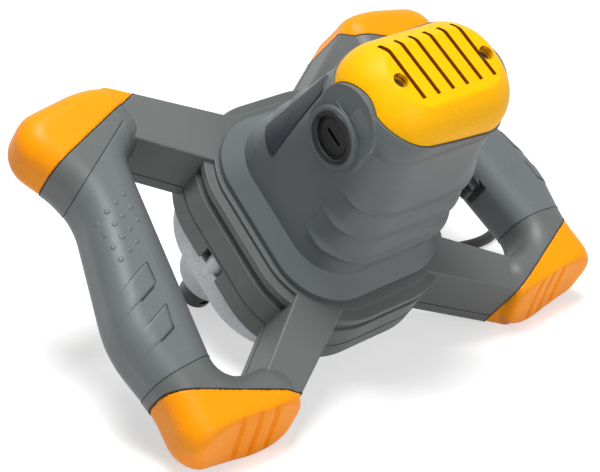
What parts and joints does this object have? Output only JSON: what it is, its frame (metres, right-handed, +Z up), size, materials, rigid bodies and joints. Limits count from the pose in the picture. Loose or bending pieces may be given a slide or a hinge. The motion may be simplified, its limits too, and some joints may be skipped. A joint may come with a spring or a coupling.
{
  "type": "mixing drill",
  "caption": "Two-handed electric mixing drill: motor over a wide handle frame with corner bumpers, geared to an offset threaded spindle, with coiled mains cord.",
  "frame": {"origin": "bottom centre of the box round the tool without its cord, on the floor it rests on", "axes": "+X from the left handle to the right handle, +Z up from the floor, -Y the side to which the motor leans"},
  "size_m": [0.391, 0.3009, 0.2131],
  "materials": {
    "frame_shell": "fine moulded grain, dark grey",
    "grip_rubber": "soft over-moulding with a dotted patch, dark grey",
    "orange_shell": "fine moulded grain, orange",
    "black_plastic": "smooth black",
    "cord_rubber": "smooth black cord sheath",
    "cast_aluminium": "as cast",
    "machined_steel": "turned and ground",
    "black_steel": "blackened steel",
    "screw_steel": "zinc plated",
    "lamination": "stacked sheet edges",
    "copper_wire": "varnished wire",
    "carbon": "pressed carbon",
    "bronze": "sintered bronze"
  },
  "bodies": {
    "tool": {"brush_cap_left": "black_plastic", "brush_cap_right": "black_plastic", "brush_holder_left": "bronze", "brush_holder_right": "bronze", "brush_spring_left": "screw_steel", "brush_spring_right": "screw_steel", "bumper_back_left": "orange_shell", "bumper_back_right": "orange_shell", "bumper_front_left": "orange_shell", "bumper_front_right": "orange_shell", "carbon_brush_left": "carbon", "carbon_brush_right": "carbon", "coil_tie": "cord_rubber", "cord": "cord_rubber", "cord_coil": "cord_rubber", "cord_sleeve": "cord_rubber", "end_cap": "orange_shell", "end_cap_screws": "screw_steel", "field_coil_left": "copper_wire", "field_coil_right": "copper_wire", "frame_screws": "screw_steel", "front_bearing": "machined_steel", "gear_plate": "cast_aluminium", "gear_plate_screws": "screw_steel", "gearbox_housing": "cast_aluminium", "gearbox_screws": "screw_steel", "grip_left": "grip_rubber", "grip_right": "grip_rubber", "handle_frame_lower": "frame_shell", "handle_frame_upper": "frame_shell", "intermediate_bush_lower": "bronze", "intermediate_bush_upper": "bronze", "motor_housing": "frame_shell", "motor_screws": "screw_steel", "plug": "cord_rubber", "rear_bearing": "machined_steel", "spindle_bearing_lower": "machined_steel", "spindle_bearing_upper": "machined_steel", "spindle_seal": "cord_rubber", "stator_core": "lamination", "switch_module": "black_plastic"},
    "armature": {"armature_shaft": "machined_steel", "armature_core": "lamination", "armature_windings": "copper_wire", "commutator": "copper_wire", "cooling_fan": "black_plastic"},
    "intermediate": {"intermediate_shaft": "machined_steel", "intermediate_gear": "machined_steel"},
    "spindle": {"spindle": "black_steel", "spindle_gear": "machined_steel", "spindle_retaining_ring": "black_steel"},
    "trigger": {"trigger": "black_plastic"},
    "lock_button": {"lock_button": "black_plastic"}
  },
  "joints": [
    {"name": "armature_spin", "type": "hinge", "parent": "tool", "child": "armature", "pos_m": [0, 0.00668, 0.08295], "axis": [0, -0.639, 0.7692], "continuous": true},
    {"name": "intermediate_spin", "type": "hinge", "parent": "tool", "child": "intermediate", "pos_m": [-0.02313, -0.00245, 0.07537], "axis": [0, -0.639, 0.7692], "continuous": true},
    {"name": "spindle_spin", "type": "hinge", "parent": "tool", "child": "spindle", "pos_m": [-0.029, 0.01822, 0.09254], "axis": [0, -0.639, 0.7692], "continuous": true},
    {"name": "trigger_press", "type": "slide", "parent": "tool", "child": "trigger", "axis": [1, 0, 0], "range_m": [0, 0.006], "stiffness_N_per_m": 800},
    {"name": "lock_press", "type": "slide", "parent": "tool", "child": "lock_button", "axis": [0, -0.639, 0.7692], "range_m": [0, 0.0025], "stiffness_N_per_m": 500}
  ],
  "couplings": [
    {"joint": "intermediate_spin", "follows": "armature_spin", "ratio": -0.18182},
    {"joint": "spindle_spin", "follows": "armature_spin", "ratio": 0.053476}
  ]
}
